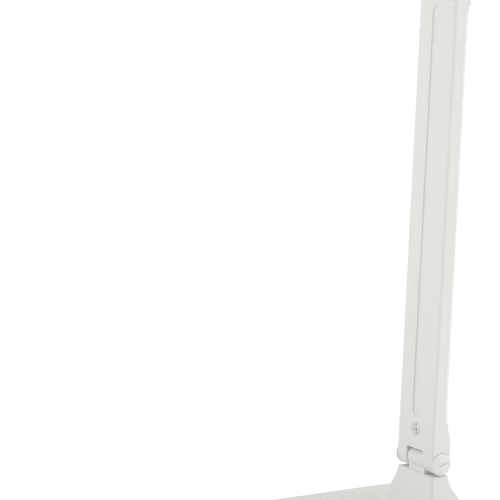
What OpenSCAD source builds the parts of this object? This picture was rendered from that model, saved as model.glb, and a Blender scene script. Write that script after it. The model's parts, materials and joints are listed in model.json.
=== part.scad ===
// Folding LED desk lamp: a weighted base, an upright arm and a lamp head, joined by two friction hinges.
// Millimetres. The front is -Y, the coin slots face +X and +Z is up.
// The origin is the centre of the non-slip pad's underside, where the lamp rests on the table.

/* [Base] */
// Width of the base, side to side
base_w = 120; // [116:1:126]
// Depth of the base, front to rear
base_d = 200; // [198:1:206]
// Height of the base's flat top above the table
base_h = 18; // [17.8:0.1:18.4]
// Radius of the base's corners, seen from above
base_corner = 14; // [13:1:18]
// Thickness of the base shell's side walls
base_wall = 2.2; // [2:0.1:2.4]
// Thickness of the base shell's flat top
base_top_wall = 2.5; // [2.4:0.1:2.6]
// Thickness of the bottom plate
plate_t = 2.4; // [2.2:0.1:2.4]
// Height of the gap between the table and the bottom plate
plate_lift = 0.6; // [0.5:0.1:0.8]

/* [Pedestal] */
// Distance from the base's rear edge to the lower hinge axis
axis_from_rear = 24; // [22:1:26]
// Height of the lower hinge axis above the table
axis_z = 47.5; // [47:0.5:49]
// Depth of the pedestal's flat top in front of the hinge axis
pedestal_front = 5.6; // [5.4:0.1:6]
// Depth of the pedestal's flat top behind the hinge axis
pedestal_rear = 5.4; // [5.2:0.1:6]
// Outward spread of the pedestal's sides and rear where they meet the base
flare = 11; // [9:0.5:12]
// Forward spread of the pedestal's front where it meets the base
front_flare = 7; // [6:0.5:8]

/* [Arm] */
// Distance between the two hinge axes
arm_len = 300; // [290:1:310]
// Width of the arm, the head and the pedestal's top
arm_w = 40; // [39:0.5:42]
// Distance from the hinge axes to the arm's flat front
arm_front = 6.5; // [6.5:0.1:6.6]
// Distance from the hinge axes to the arm's slim rear, between the two ends
arm_rear = 3.5; // [3.4:0.1:3.8]
// Distance from the hinge axes to the seam between the arm's front housing and rear cover
seam_y = 0.4; // [0.3:0.1:0.5]
// Lean of the arm behind upright, in degrees
lean = 3; // [0:0.5:4]
// Width of the shallow channel down the arm's front
channel_w = 10.4; // [10:0.2:11]
// Depth of that channel
channel_t = 0.7; // [0.5:0.1:0.8]
// Distance from each hinge axis to the nearer end of the channel
channel_end = 26; // [25:1:28]
// Distance from each hinge axis to the front screw's recess
recess_z = 18; // [17:0.5:18.5]

/* [Hinges] */
// Radius of the round cheeks at the arm's ends
cheek_r = 6.5; // [6.4:0.1:6.5]
// Radius of the knuckles between the cheeks
knuckle_r = 6.2; // [6.1:0.1:6.2]
// Width of the notch between the cheeks
notch_w = 18.4; // [18.2:0.2:18.8]
// Width of the knuckles
knuckle_w = 17.4; // [17:0.2:17.4]
// Radius of the round caps over the hinge bolts
cap_r = 6.7; // [6.5:0.1:6.8]
// Thickness of those caps outside the cheek
cap_t = 1.1; // [1:0.1:1.4]
// Distance from each hinge axis to the face that its knuckle block is screwed against
seat = 7.6; // [7.5:0.1:8]

/* [Head] */
// Distance from the upper hinge axis to the head's front tip
head_len = 275; // [270:1:276]
// Length of the head behind the upper hinge axis
head_tail = 8; // [7:0.5:10]
// Thickness of the head
head_t = 12; // [12:0.1:12.4]
// Rise of the head above level, in degrees
head_up = 10; // [0:1:30]

/* [Hidden] */
$fn = 48;

plastic_white = [0.90, 0.89, 0.87];
frosted_white = [0.96, 0.96, 0.94];
steel_grey = [0.62, 0.63, 0.65];
overcut = 1;

// Base, worked out from the sizes above
axis_y = base_d / 2 - axis_from_rear;
plate_top = plate_lift + plate_t;
ceiling = base_h - base_top_wall;
pad_size = [92, 176];
pad_t = 1.2;
ballast_size = [92, 140, 6];
ballast_y = 10;
screw_xy = [base_w / 2 - 10, base_d / 2 - 12];
boss_r = 3.6;

// Control board and its three buttons, all in one row near the base's front
button_y = -base_d / 2 + 22;
button_gap = 24;
button_r = 6;
button_hole_r = 6.4;
button_proud = 1;
button_flange_r = 7.4;
button_bottom = ceiling - 1.2;
board_size = [88, 22, 1.6];
board_top = ceiling - 5.9;
board_screw_x = 38;
switch_top = button_bottom - 0.9;

// Power inlet in the middle of the base's rear wall
socket_z = 9;
socket_nose_r = 4.2;
socket_body = [11, 11.8, 9.6];
socket_depth = 9;

// Pedestal
pedestal_top = axis_z - seat;
pedestal_h = pedestal_top - base_h;
flare_power = 1.59;
flare_steps = 8;
pedestal_slot = [32, 6.4];
tenon = [14, 6];
seat_wall = 3;

// Arm
bulge_near = 13;
bulge_far = 26;
cover_foot = 19.5;
bulge_steps = 6;
arm_wall = 2.2;
arm_hollow_end = 30;
arm_hollow_rear = arm_rear - 1.8;
spine_size = [24, 2, 2 * (arm_len / 2 - 34)];
tab_w = 13.6;
tab_end = 12;
tab_y = [0.4, 3];
recess_r = 4.7;
recess_t = 2;

// Hinge hardware, along the hinge axis
bolt_r = 2;
running_gap = 0.05;
bush_r = 3.2;
bush_len = 6;
cheek_floor = 13;
pocket_r = 4.7;
bolt_head_r = 3.5;
bolt_head_t = 3.2;
washer_t = 1;
nut_corner_r = 4.04;
stem_half = 5;
bracket_size = [24, 5.8, 2];
bracket_screw_x = 5;
coin_slot = [5.8, 1, 0.6];
coin_slot_tilt = 17;
cap_crown = [[cap_r, 0.4], [5, 0.82], [2.4, cap_t]];

// Head, worked out in its own frame: the hinge axis is its origin and the head points along -Y
head_low = seat;
head_high = seat + head_t;
head_wall = 1.8;
bezel_t = 1.6;
head_corner = 9;
tail_corner = 4;
window_y = [-head_len + 13, -42];
window_w = 32;
flange_t = 0.8;
reflector_t = 3;
led_board_t = 1.2;
led_rows = 2;
leds_per_row = 24;
led_size = [2.8, 3.5, 0.7];
sink_t = 1.6;
flange_top = head_low + bezel_t + flange_t;
led_board_low = flange_top + reflector_t;
sink_low = led_board_low + led_board_t;
sink_high = sink_low + sink_t;
head_ceiling = head_high - 2;
bezel_screw_spots = [[13, -22], [-13, -22], [12, -head_len + 6.5], [-12, -head_len + 6.5]];
sink_screw_spots = [[9, -44.5], [-9, -44.5], [9, -head_len + 14.8], [-9, -head_len + 14.8]];

function ease(t) = (1 - cos(180 * t)) / 2;

// Spread of the pedestal's sides and rear at a depth below its flat top
function spread(depth) = flare * pow(depth / pedestal_h, flare_power);

// ---------- placing ----------

module on_lower_hinge() {
    translate([0, axis_y, axis_z]) children();
}

module in_arm() {
    on_lower_hinge() rotate([-lean, 0, 0]) children();
}

module in_head() {
    in_arm() translate([0, 0, arm_len]) rotate([lean - head_up, 0, 0]) children();
}

// A profile drawn in Y and Z, pulled out to both sides of the middle
module across(width) {
    rotate([90, 0, 90]) linear_extrude(width, center = true) children();
}

// A rod along X between two places
module rod_x(r, from, to) {
    translate([from, 0, 0]) rotate([0, 90, 0]) cylinder(r = r, h = to - from);
}

module ring_x(r_out, r_in, from, to) {
    difference() {
        rod_x(r_out, from, to);
        rod_x(r_in, from - overcut, to + overcut);
    }
}

// ---------- shared shapes ----------

module rounded_rect(w, d, r) {
    square([w - 2 * r, d], center = true);
    square([w, d - 2 * r], center = true);
    for (x = [-1, 1], y = [-1, 1])
        translate([x * (w / 2 - r), y * (d / 2 - r)]) circle(r);
}

// A block by its middle in X and Y and its lowest and highest Z
module block(size, low, high) {
    translate([-size[0] / 2, -size[1] / 2, low]) cube([size[0], size[1], high - low]);
}

// A cross-recess screw: the shank points up from z = 0 and the head hangs below it
module screw(head_r, head_t, shank_r, length) {
    difference() {
        translate([0, 0, -head_t]) cylinder(r = head_r, h = head_t);
        for (turn = [0, 90])
            rotate(turn) translate([-head_r * 0.62, -0.35, -head_t - overcut])
                cube([head_r * 1.24, 0.7, overcut + head_t * 0.55]);
    }
    cylinder(r = shank_r, h = length);
}

// ---------- hinge pieces, drawn round an axis along X ----------

// The knuckle, its stem and the tenon that drops through the face it is screwed against, pointing up
module hinge_block() {
    difference() {
        union() {
            rod_x(knuckle_r, -knuckle_w / 2, knuckle_w / 2);
            block([knuckle_w, 2 * stem_half], 0, seat);
            block(tenon, seat, seat + seat_wall);
        }
        rod_x(bush_r, -knuckle_w / 2 - overcut, knuckle_w / 2 + overcut);
        for (x = [-1, 1])
            translate([x * bracket_screw_x, 0, seat - 3.2]) cylinder(r = 1.3, h = 9);
    }
}

module hinge_bracket() {
    difference() {
        block(bracket_size, seat + seat_wall, seat + seat_wall + bracket_size[2]);
        for (x = [-1, 1])
            translate([x * bracket_screw_x, 0, seat]) cylinder(r = 1.5, h = 9);
    }
}

module bracket_screws() {
    for (x = [-1, 1])
        translate([x * bracket_screw_x, 0, seat + seat_wall + bracket_size[2]])
            mirror([0, 0, 1]) screw(2.6, 2, 1.3, 8.2);
}

module hinge_bushes() {
    for (side = [0, 1])
        mirror([side, 0, 0])
            ring_x(bush_r, bolt_r + running_gap, knuckle_w / 2 - bush_len, knuckle_w / 2);
}

module friction_washers() {
    for (side = [0, 1])
        mirror([side, 0, 0])
            ring_x(5.4, bolt_r + 0.1, knuckle_w / 2 + running_gap, notch_w / 2 - running_gap);
}

module hinge_bolt() {
    difference() {
        union() {
            rod_x(bolt_r, -cheek_floor - 3.8, cheek_floor + washer_t);
            rod_x(bolt_head_r, cheek_floor + washer_t, cheek_floor + washer_t + bolt_head_t);
        }
        translate([cheek_floor + washer_t + bolt_head_t - 1.8, 0, 0])
            rotate([0, 90, 0]) cylinder(r = 1.73, h = 3, $fn = 6);
    }
}

module spring_washer() {
    difference() {
        ring_x(4, bolt_r + 0.1, cheek_floor, cheek_floor + washer_t);
        translate([cheek_floor - overcut, -0.4, 0]) cube([washer_t + 2 * overcut, 0.8, 6]);
    }
}

module hinge_nut() {
    difference() {
        translate([-cheek_floor - 3.2, 0, 0]) rotate([0, 90, 0])
            cylinder(r = nut_corner_r, h = 3.2, $fn = 6);
        rod_x(bolt_r, -cheek_floor - 5, -cheek_floor + overcut);
    }
}

// The disc, crowned in two steps, and the hollow plug that pushes into the cheek
module plain_cap() {
    mirror([1, 0, 0]) {
        rod_x(cap_r, arm_w / 2, arm_w / 2 + cap_crown[0][1]);
        for (i = [0, 1])
            translate([arm_w / 2 + cap_crown[i][1], 0, 0]) rotate([0, 90, 0])
                cylinder(r1 = cap_crown[i][0], r2 = cap_crown[i + 1][0],
                         h = cap_crown[i + 1][1] - cap_crown[i][1]);
        ring_x(pocket_r - 0.1, pocket_r - 0.9, arm_w / 2 - 2, arm_w / 2);
    }
}

module slotted_cap() {
    difference() {
        mirror([1, 0, 0]) plain_cap();
        translate([arm_w / 2 + cap_t - coin_slot[2], 0, 0]) rotate([coin_slot_tilt, 0, 0])
            translate([0, -coin_slot[0] / 2, -coin_slot[1] / 2]) cube([5, coin_slot[0], coin_slot[1]]);
    }
}

// What is bored and pocketed into an arm's end for the bolt, its washer and its nut
module cheek_bores() {
    rod_x(bolt_r + running_gap, -arm_w, arm_w);
    for (side = [0, 1])
        mirror([side, 0, 0]) rod_x(pocket_r, cheek_floor, arm_w);
}

// ---------- base ----------

module base_outline(inset) {
    rounded_rect(base_w - 2 * inset, base_d - 2 * inset, base_corner - inset);
}

module at_base_screws() {
    for (x = [-1, 1], y = [-1, 1])
        translate([x * screw_xy[0], y * screw_xy[1], 0]) children();
}

module at_buttons() {
    for (i = [-1 : 1]) translate([i * button_gap, button_y, 0]) children();
}

module at_board_screws() {
    for (x = [-1, 1]) translate([x * board_screw_x, button_y, 0]) children();
}

// The pedestal's outside: its front view and its side view, each pulled out and crossed
module pedestal_body() {
    depths = [for (i = [0 : flare_steps]) pedestal_h * i / flare_steps];
    right = [for (d = depths) [arm_w / 2 + spread(d), pedestal_top - d]];
    left = [for (i = [flare_steps : -1 : 0]) [-right[i][0], right[i][1]]];
    rear = [for (d = depths) [pedestal_rear + spread(d), pedestal_top - d]];
    front = [[-pedestal_front - front_flare, base_h], [-pedestal_front, pedestal_top]];
    translate([0, axis_y, 0]) intersection() {
        rotate([90, 0, 0]) linear_extrude(100, center = true) polygon(concat(right, left));
        across(100) polygon(concat(rear, front));
    }
}

// The hollow that runs up through the base's top into the pedestal, for the bracket and the leads
module pedestal_hollow() {
    translate([0, axis_y, 0]) block(pedestal_slot, plate_top, pedestal_top - seat_wall);
}

module base_shell() {
    color(plastic_white) difference() {
        union() {
            difference() {
                translate([0, 0, plate_lift]) linear_extrude(base_h - plate_lift) base_outline(0);
                linear_extrude(ceiling) base_outline(base_wall);
            }
            at_base_screws() translate([0, 0, plate_top]) cylinder(r = boss_r, h = ceiling - plate_top);
            at_board_screws() translate([0, 0, board_top]) cylinder(r = 3, h = ceiling - board_top);
        }
        pedestal_hollow();
        at_buttons() translate([0, 0, ceiling - overcut]) cylinder(r = button_hole_r, h = 8);
        at_base_screws() cylinder(r = 1.3, h = 12);
        at_board_screws() cylinder(r = 1.1, h = board_top + 4.4);
        translate([0, 0, socket_z]) rotate([-90, 0, 0]) cylinder(r = socket_nose_r, h = base_d);
    }
}

module pedestal() {
    color(plastic_white) difference() {
        pedestal_body();
        pedestal_hollow();
        translate([0, axis_y, 0]) block(tenon, plate_top, axis_z);
    }
}

module bottom_plate() {
    color(plastic_white) difference() {
        translate([0, 0, plate_lift]) linear_extrude(plate_t) base_outline(base_wall);
        linear_extrude(pad_t) rounded_rect(pad_size[0], pad_size[1], 8);
        at_base_screws() cylinder(r = 3.4, h = plate_lift + 1.5);
        at_base_screws() cylinder(r = 1.6, h = 6);
    }
}

module non_slip_pad() {
    color("dimgray") linear_extrude(pad_t) rounded_rect(pad_size[0], pad_size[1], 8);
}

module ballast_plate() {
    color(steel_grey) translate([0, ballast_y, plate_top]) linear_extrude(ballast_size[2])
        rounded_rect(ballast_size[0], ballast_size[1], 6);
}

module base_screws() {
    color(steel_grey) at_base_screws() translate([0, 0, plate_lift + 1.5]) screw(3, 1.3, 1.3, 9);
}

module control_board() {
    color("seagreen") {
        difference() {
            translate([0, button_y, 0])
                block([board_size[0], board_size[1]], board_top - board_size[2], board_top);
            at_board_screws() cylinder(r = 1.1, h = board_top + overcut);
        }
        // Plug connector for the leads, at the board's rear edge
        translate([0, button_y + board_size[1] / 2 - 3, 0]) block([14, 6], board_top, board_top + 3.6);
    }
}

module key_switches() {
    color("dimgray") at_buttons() {
        block([6, 6], board_top, switch_top - 0.5);
        translate([0, 0, switch_top - 0.5]) cylinder(r = 1.7, h = 0.5);
    }
}

module board_screws() {
    color(steel_grey) at_board_screws()
        translate([0, 0, board_top - board_size[2]]) screw(2.2, 1.4, 1.1, 5.6);
}

module push_button(i) {
    color(plastic_white) translate([i * button_gap, button_y, 0]) {
        translate([0, 0, button_bottom]) cylinder(r = button_r, h = base_h + button_proud - button_bottom);
        translate([0, 0, button_bottom]) cylinder(r = button_flange_r, h = 1);
    }
}

module power_button() {
    push_button(0);
}

module brighter_button() {
    push_button(1);
}

module dimmer_button() {
    push_button(-1);
}

module dc_socket() {
    rear = base_d / 2;
    color("dimgray") difference() {
        union() {
            translate([0, rear - base_wall - socket_body[1] / 2, 0])
                block([socket_body[0], socket_body[1]], socket_z - socket_body[2] / 2,
                      socket_z + socket_body[2] / 2);
            translate([0, rear - base_wall, socket_z]) rotate([-90, 0, 0])
                cylinder(r = socket_nose_r, h = base_wall - 0.3);
        }
        translate([0, rear - socket_depth, socket_z]) rotate([-90, 0, 0]) difference() {
            cylinder(r = 3, h = socket_depth + overcut);
            cylinder(r = 1, h = socket_depth - 2);
        }
    }
}

// One pair runs from the inlet to the board, the other from the board up into the pedestal
module base_leads() {
    lead_z = plate_top + ballast_size[2] + 0.9;
    board_rear = button_y + board_size[1] / 2;
    socket_front = base_d / 2 - base_wall - socket_body[1];
    color("firebrick") {
        for (x = [-1.2, 1.2])
            translate([x, board_rear, lead_z]) rotate([-90, 0, 0])
                cylinder(r = 0.9, h = socket_front - board_rear);
        for (x = [4.4, 6.4]) {
            translate([x, board_rear, lead_z]) rotate([-90, 0, 0])
                cylinder(r = 0.8, h = axis_y - board_rear);
            translate([x, axis_y, lead_z]) cylinder(r = 0.8, h = 14);
        }
    }
}

module lower_hinge_block() {
    color(plastic_white) on_lower_hinge() mirror([0, 0, 1]) hinge_block();
}

module lower_hinge_bracket() {
    color(steel_grey) on_lower_hinge() mirror([0, 0, 1]) hinge_bracket();
}

module lower_bracket_screws() {
    color(steel_grey) on_lower_hinge() mirror([0, 0, 1]) bracket_screws();
}

module lower_hinge_bushes() {
    color("goldenrod") on_lower_hinge() hinge_bushes();
}

module lower_friction_washers() {
    color(steel_grey) on_lower_hinge() friction_washers();
}

// ---------- arm, with the lower hinge axis at its origin ----------

// The arm's side view: deep at its two ends, slim between them
module arm_profile() {
    lower = [for (i = [0 : bulge_steps])
        [cheek_r + (arm_rear - cheek_r) * ease(i / bulge_steps),
         bulge_near + (bulge_far - bulge_near) * i / bulge_steps]];
    upper = [for (i = [bulge_steps : -1 : 0]) [lower[i][0], arm_len - lower[i][1]]];
    circle(cheek_r);
    translate([0, arm_len]) circle(cheek_r);
    polygon(concat([[-arm_front, 0], [cheek_r, 0]], lower, upper,
                   [[cheek_r, arm_len], [-arm_front, arm_len]]));
}

// The side view of all that belongs to the rear cover's outside
module cover_zone() {
    polygon([[seam_y, bulge_far + 0.5], [cheek_r + overcut, cover_foot - overcut],
             [cheek_r + overcut, arm_len - cover_foot + overcut], [seam_y, arm_len - bulge_far - 0.5]]);
}

module arm_hollow() {
    translate([0, (arm_hollow_rear - arm_front + arm_wall) / 2, 0])
        block([arm_w - 2 * arm_wall, arm_hollow_rear + arm_front - arm_wall],
              arm_hollow_end, arm_len - arm_hollow_end);
}

// Does something at both ends of the arm, the far end being the mirror image of the near one
module at_both_ends() {
    children();
    translate([0, 0, arm_len]) mirror([0, 0, 1]) children();
}

// The tab under each end of the rear cover, which the front screw pulls on
module cover_tab() {
    translate([-tab_w / 2, tab_y[0], tab_end])
        cube([tab_w, tab_y[1] - tab_y[0], arm_hollow_end - tab_end]);
}

module front_channel() {
    length = arm_len - 2 * channel_end;
    translate([0, -arm_front + channel_t, channel_end]) rotate([90, 0, 0])
        linear_extrude(channel_t + overcut) translate([0, length / 2])
            rounded_rect(channel_w, length, channel_w / 2 - 0.2);
}

module arm_front_housing() {
    color(plastic_white) in_arm() difference() {
        across(arm_w) difference() {
            arm_profile();
            cover_zone();
        }
        arm_hollow();
        front_channel();
        at_both_ends() {
            block([notch_w, 4 * cheek_r], -2 * cheek_r, cheek_r);
            cheek_bores();
            cover_tab();
            translate([0, -arm_front + recess_t, recess_z]) rotate([90, 0, 0]) cylinder(r = recess_r, h = 5);
            translate([0, tab_y[0], recess_z]) rotate([90, 0, 0])
                cylinder(r = 1.3, h = arm_front - recess_t + tab_y[0]);
        }
    }
}

module arm_rear_cover() {
    color(plastic_white) in_arm() difference() {
        union() {
            difference() {
                across(arm_w) intersection() {
                    arm_profile();
                    cover_zone();
                }
                arm_hollow();
            }
            at_both_ends() cover_tab();
            // Ribs that press the spine against the front housing
            for (x = [-9.6, 9.6])
                translate([x, (arm_hollow_rear - arm_front + arm_wall + spine_size[1]) / 2, 0])
                    block([1.2, arm_hollow_rear + arm_front - arm_wall - spine_size[1]], 40, arm_len - 40);
        }
        at_both_ends() translate([0, 0, recess_z]) rotate([90, 0, 0])
            cylinder(r = 1.1, h = 4.8, center = true);
    }
}

module arm_spine() {
    color(steel_grey) in_arm() translate([0, -arm_front + arm_wall + spine_size[1] / 2, 0])
        block([spine_size[0], spine_size[1]], (arm_len - spine_size[2]) / 2, (arm_len + spine_size[2]) / 2);
}

module arm_screws() {
    color(steel_grey) in_arm() at_both_ends()
        translate([0, -arm_front + recess_t, recess_z]) rotate([-90, 0, 0]) screw(3, 1.5, 1.1, 6.8);
}

module arm_lead() {
    color("firebrick") in_arm() for (x = [-1.2, 1.2])
        translate([x, -0.8, arm_hollow_end]) cylinder(r = 0.9, h = arm_len - 2 * arm_hollow_end);
}

module lower_hinge_bolt() {
    color(steel_grey) in_arm() hinge_bolt();
}

module lower_spring_washer() {
    color(steel_grey) in_arm() spring_washer();
}

module lower_hinge_nut() {
    color(steel_grey) in_arm() hinge_nut();
}

module lower_slotted_cap() {
    color(plastic_white) in_arm() slotted_cap();
}

module lower_plain_cap() {
    color(plastic_white) in_arm() plain_cap();
}

module upper_hinge_bolt() {
    color(steel_grey) in_arm() translate([0, 0, arm_len]) hinge_bolt();
}

module upper_spring_washer() {
    color(steel_grey) in_arm() translate([0, 0, arm_len]) spring_washer();
}

module upper_hinge_nut() {
    color(steel_grey) in_arm() translate([0, 0, arm_len]) hinge_nut();
}

module upper_slotted_cap() {
    color(plastic_white) in_arm() translate([0, 0, arm_len]) slotted_cap();
}

module upper_plain_cap() {
    color(plastic_white) in_arm() translate([0, 0, arm_len]) plain_cap();
}

// ---------- head, with the upper hinge axis at its origin ----------

// The head from above: wide round corners at the tip, small ones at the tail
module head_outline(inset) {
    w = arm_w - 2 * inset;
    tip = -head_len + inset;
    tail = head_tail - inset;
    tip_r = head_corner - inset;
    tail_r = tail_corner - inset;
    translate([0, (tip + tail) / 2]) square([w - 2 * tip_r, tail - tip], center = true);
    translate([-w / 2, tip + tip_r]) square([w, tail - tip - tip_r - tail_r]);
    translate([-w / 2 + tail_r, tip + tip_r]) square([w - 2 * tail_r, tail - tip - tip_r]);
    for (x = [-1, 1]) {
        translate([x * (w / 2 - tip_r), tip + tip_r]) circle(tip_r);
        translate([x * (w / 2 - tail_r), tail - tail_r]) circle(tail_r);
    }
}

// A block by its width, its front and rear Y, and its lowest and highest Z
module slab(w, ys, low, high) {
    translate([-w / 2, ys[0], low]) cube([w, ys[1] - ys[0], high - low]);
}

module at_spots(spots) {
    for (spot = spots) translate([spot[0], spot[1], 0]) children();
}

module head_housing() {
    color(plastic_white) in_head() difference() {
        union() {
            difference() {
                translate([0, 0, head_low]) linear_extrude(head_t) head_outline(0);
                linear_extrude(head_ceiling) head_outline(head_wall);
            }
            at_spots(bezel_screw_spots) translate([0, 0, head_low + bezel_t])
                cylinder(r = 2.6, h = head_ceiling - head_low - bezel_t);
            at_spots(sink_screw_spots) translate([0, 0, sink_high])
                cylinder(r = 3, h = head_ceiling - sink_high);
        }
        at_spots(bezel_screw_spots) cylinder(r = 1.1, h = head_low + 7);
        at_spots(sink_screw_spots) cylinder(r = 1.1, h = sink_high + 1.6);
    }
}

module head_bezel() {
    color(plastic_white) in_head() difference() {
        union() {
            translate([0, 0, head_low]) linear_extrude(bezel_t) head_outline(head_wall);
            block([30, 12], head_low, seat + seat_wall);
        }
        slab(window_w, window_y, 0, 20);
        block(tenon, 0, 20);
        at_spots(bezel_screw_spots) cylinder(r = 2.4, h = head_low + 0.9);
        at_spots(bezel_screw_spots) cylinder(r = 1.3, h = 20);
    }
}

module diffuser() {
    color(frosted_white) in_head() {
        slab(window_w, window_y, head_low, head_low + bezel_t);
        slab(window_w + 3, [window_y[0] - 1.5, window_y[1] + 1.5], head_low + bezel_t, flange_top);
    }
}

module reflector() {
    ys = [window_y[0] + 6, window_y[1] - 6];
    color("white") in_head() difference() {
        slab(33, ys, flange_top, led_board_low);
        slab(27, [ys[0] + 3, ys[1] - 3], 0, 30);
    }
}

module led_board() {
    color("whitesmoke") in_head() slab(30, [window_y[0] + 6, window_y[1] - 6], led_board_low, sink_low);
}

module leds() {
    span = window_y[1] - window_y[0] - 28;
    color("khaki") in_head() for (row = [0 : led_rows - 1], i = [0 : leds_per_row - 1])
        translate([(row - 0.5) * 13, window_y[0] + 14 + span * i / (leds_per_row - 1), 0])
            block(led_size, led_board_low - led_size[2], led_board_low);
}

module heat_sink() {
    color("silver") in_head() difference() {
        slab(32, [window_y[0] - 2, window_y[1] + 2], sink_low, sink_high);
        at_spots(sink_screw_spots) cylinder(r = 1.3, h = 30);
    }
}

module heat_sink_screws() {
    color(steel_grey) in_head() at_spots(sink_screw_spots)
        translate([0, 0, sink_low]) screw(2.2, 1.4, 1.1, 3);
}

module bezel_screws() {
    color(steel_grey) in_head() at_spots(bezel_screw_spots)
        translate([0, 0, head_low + 0.9]) screw(2.2, 0.8, 1.1, 6);
}

module head_lead() {
    color("firebrick") in_head() for (x = [-1, 1])
        translate([x, window_y[1] - 6, led_board_low + 0.2]) rotate([-90, 0, 0]) cylinder(r = 0.8, h = 44);
}

module upper_hinge_block() {
    color(plastic_white) in_head() hinge_block();
}

module upper_hinge_bracket() {
    color(steel_grey) in_head() hinge_bracket();
}

module upper_bracket_screws() {
    color(steel_grey) in_head() bracket_screws();
}

module upper_hinge_bushes() {
    color("goldenrod") in_head() hinge_bushes();
}

module upper_friction_washers() {
    color(steel_grey) in_head() friction_washers();
}

base_shell();
pedestal();
bottom_plate();
ballast_plate();
non_slip_pad();
base_screws();
control_board();
key_switches();
board_screws();
dc_socket();
base_leads();
lower_hinge_block();
lower_hinge_bracket();
lower_bracket_screws();
lower_hinge_bushes();
lower_friction_washers();
power_button();
brighter_button();
dimmer_button();
arm_front_housing();
arm_rear_cover();
arm_spine();
arm_screws();
arm_lead();
lower_hinge_bolt();
lower_spring_washer();
lower_hinge_nut();
lower_slotted_cap();
lower_plain_cap();
upper_hinge_bolt();
upper_spring_washer();
upper_hinge_nut();
upper_slotted_cap();
upper_plain_cap();
head_housing();
head_bezel();
diffuser();
led_board();
leds();
reflector();
heat_sink();
heat_sink_screws();
bezel_screws();
head_lead();
upper_hinge_block();
upper_hinge_bracket();
upper_bracket_screws();
upper_hinge_bushes();
upper_friction_washers();
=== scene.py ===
import json
import math
import bmesh
import bpy
import numpy as np
from mathutils import Matrix, Vector


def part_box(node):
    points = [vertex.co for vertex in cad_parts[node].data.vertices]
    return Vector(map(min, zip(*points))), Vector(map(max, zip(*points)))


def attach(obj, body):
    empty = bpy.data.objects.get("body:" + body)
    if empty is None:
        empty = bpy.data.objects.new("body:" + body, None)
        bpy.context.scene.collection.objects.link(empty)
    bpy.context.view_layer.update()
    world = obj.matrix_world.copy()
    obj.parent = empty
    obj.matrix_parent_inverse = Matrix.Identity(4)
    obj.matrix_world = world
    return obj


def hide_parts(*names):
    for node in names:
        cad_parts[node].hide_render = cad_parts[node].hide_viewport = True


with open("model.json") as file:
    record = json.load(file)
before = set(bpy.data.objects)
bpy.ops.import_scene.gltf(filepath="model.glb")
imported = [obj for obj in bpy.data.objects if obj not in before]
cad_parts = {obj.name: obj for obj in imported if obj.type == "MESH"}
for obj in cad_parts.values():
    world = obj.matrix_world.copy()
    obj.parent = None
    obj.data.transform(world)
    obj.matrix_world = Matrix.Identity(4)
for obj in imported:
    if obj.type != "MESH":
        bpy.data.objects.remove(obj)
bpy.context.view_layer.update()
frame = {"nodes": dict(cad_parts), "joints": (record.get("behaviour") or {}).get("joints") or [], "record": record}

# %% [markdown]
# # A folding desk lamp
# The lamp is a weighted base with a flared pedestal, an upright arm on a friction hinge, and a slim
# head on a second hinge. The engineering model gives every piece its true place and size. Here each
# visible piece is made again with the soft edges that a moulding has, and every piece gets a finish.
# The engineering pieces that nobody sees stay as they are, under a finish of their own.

MM = 0.001
joint_at = {j["name"]: Vector(j["pos_m"]) for j in frame["joints"] if j["type"] == "hinge"}
LOWER, UPPER = joint_at["arm_fold"], joint_at["head_tilt"]
ARM_LENGTH = (UPPER - LOWER).length / MM
print("arm, hinge to hinge:", round(ARM_LENGTH, 2), "mm")

# %% [markdown]
# ## Each part in its own millimetres
# The arm leans and the head tilts, but both are far easier to draw standing straight. So each piece
# is drawn in millimetres round its own hinge, and one matrix puts it in its place at the very end.
# Working in millimetres also keeps the numbers well away from zero, which the cutting tools like.

# %% The three places that pieces are drawn in
def place_at(origin, up):
    """From a part's own millimetres to metres in the shared frame: X stays sideways, Z runs along up."""
    z, x = up.normalized(), Vector((1, 0, 0))
    turn = Matrix((x, z.cross(x), z)).transposed().to_4x4()
    return Matrix.Translation(origin) @ turn @ Matrix.Scale(MM, 4)


def long_axis(node):
    """The direction that a long flat node runs in, seen from the side."""
    spots = np.array([v.co[:] for v in frame["nodes"][node].data.vertices])[:, 1:]
    _, directions = np.linalg.eigh(np.cov(spots.T))
    y, z = directions[:, -1]
    return Vector((0, y, z)) if y < 0 else Vector((0, -y, -z))


head_points = long_axis("diffuser")
BASE = Matrix.Scale(MM, 4)
ARM = place_at(LOWER, UPPER - LOWER)
HEAD = place_at(UPPER, head_points.cross(Vector((1, 0, 0))))
LOWER_KNUCKLE = place_at(LOWER, Vector((0, 0, -1)))
print("arm leans", round(math.degrees(math.atan2(UPPER.y - LOWER.y, UPPER.z - LOWER.z)), 2), "degrees;",
      "head rises", round(math.degrees(math.asin(head_points.z)), 2), "degrees")

# %% [markdown]
# ## Lofting, the one way of making a solid
# A moulding is mostly a stack of outlines: a button is a stack of circles, the base a stack of
# rounded rectangles, and the arm a stack of its own side view. Spinning, extruding and bevelling
# could each make some of them. One loft that joins any stack of rings makes them all, and the soft
# edges are part of the stack instead of a modifier that may fail on a sharp corner.

# %% Loft and place
def solid(name, points, faces):
    """A closed mesh with its faces turned outwards, still in millimetres."""
    mesh = bpy.data.meshes.new(name)
    mesh.from_pydata([tuple(p) for p in points], [], faces)
    work = bmesh.new()
    work.from_mesh(mesh)
    bmesh.ops.remove_doubles(work, verts=work.verts, dist=1e-5)
    bmesh.ops.recalc_face_normals(work, faces=work.faces)
    work.to_mesh(mesh)
    work.free()
    made = bpy.data.objects.new(name, mesh)
    bpy.context.scene.collection.objects.link(made)
    return made


def loft(name, rings):
    """Joins rings of equally many points with walls, and closes the first and last with a face."""
    count = len(rings[0])
    faces = [tuple(range(count)), tuple((len(rings) - 1) * count + i for i in range(count))]
    for r in range(len(rings) - 1):
        for i in range(count):
            j = (i + 1) % count
            faces.append((r * count + i, r * count + j, (r + 1) * count + j, (r + 1) * count + i))
    return solid(name, [p for ring in rings for p in ring], faces)


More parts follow.
